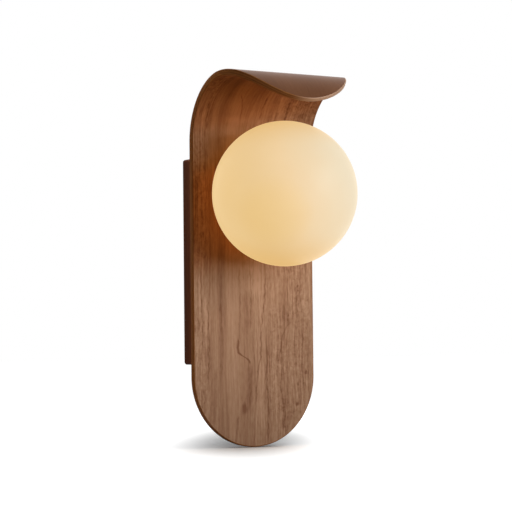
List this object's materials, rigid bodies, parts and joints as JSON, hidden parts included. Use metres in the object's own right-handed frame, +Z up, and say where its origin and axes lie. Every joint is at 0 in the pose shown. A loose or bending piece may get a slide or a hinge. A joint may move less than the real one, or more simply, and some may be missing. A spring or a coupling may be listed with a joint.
{
  "type": "wall sconce",
  "caption": "Wall light with a flat bent plywood panel that curls forward as a hood over an opal glass globe, on a shallow wall box with a slotted strap.",
  "frame": {"origin": "middle of the wall box on the wall plane, between the two wall slots", "axes": "+Z up, -Y out of the wall towards the room, +X to the right of a person facing the lamp"},
  "size_m": [0.15, 0.1715, 0.387],
  "materials": {
    "walnut_ply": "satin walnut veneer on moulded plywood",
    "dark_walnut": "satin dark walnut stain",
    "opal_glass": "smooth opal glass, lit from inside",
    "white_metal": "white powder coat",
    "silicone": "matt translucent silicone",
    "zinc_steel": "zinc plated",
    "bright_steel": "bright zinc",
    "brass": "turned brass",
    "steatite": "unglazed ceramic",
    "white_plastic": "fine matt",
    "frosted_cover": "frosted",
    "led_core": "phosphor",
    "brown_insulation": "silicone sleeve",
    "blue_insulation": "silicone sleeve",
    "green_insulation": "silicone sleeve"
  },
  "bodies": {
    "fixture": {"bent_panel": "walnut_ply", "wall_box": "dark_walnut", "wall_bracket": "zinc_steel", "box_lock_screws": "bright_steel", "panel_screws": "bright_steel", "globe_hub": "white_metal", "hub_screws": "bright_steel", "threaded_tube": "brass", "tube_nuts": "brass", "tube_washers": "zinc_steel", "tube_bushes": "white_plastic", "lampholder_stirrup": "zinc_steel", "lampholder_body": "steatite", "lampholder_contacts": "brass", "lampholder_screws": "bright_steel", "terminal_block": "white_plastic", "terminal_inserts": "brass", "terminal_screws": "bright_steel", "terminal_fixing_screw": "bright_steel", "live_lead": "brown_insulation", "neutral_lead": "blue_insulation", "earth_lead": "green_insulation", "earth_lug": "zinc_steel", "bracket_earth_screw": "brass", "bracket_earth_washer": "brass"},
    "gasket_ring": {"globe_gasket": "silicone"},
    "globe": {"globe": "opal_glass", "globe_collar": "white_metal"},
    "bulb": {"bulb_base": "white_plastic", "bulb_pins": "bright_steel", "bulb_envelope": "frosted_cover", "bulb_led_core": "led_core"}
  },
  "joints": [
    {"name": "globe_advance", "type": "slide", "parent": "fixture", "child": "gasket_ring", "axis": [0, -1, 0], "range_m": [0, 0.008]},
    {"name": "globe_turn", "type": "hinge", "parent": "gasket_ring", "child": "globe", "pos_m": [0, -0.0965, 0.0675], "axis": [0, -1, 0], "range_deg": [0, 720]},
    {"name": "bulb_pull", "type": "slide", "parent": "fixture", "child": "bulb", "axis": [0, -1, 0], "range_m": [0, 0.012]}
  ],
  "couplings": [
    {"joint": "globe_advance", "follows": "globe_turn", "m_per_rad": 0.00063661}
  ]
}
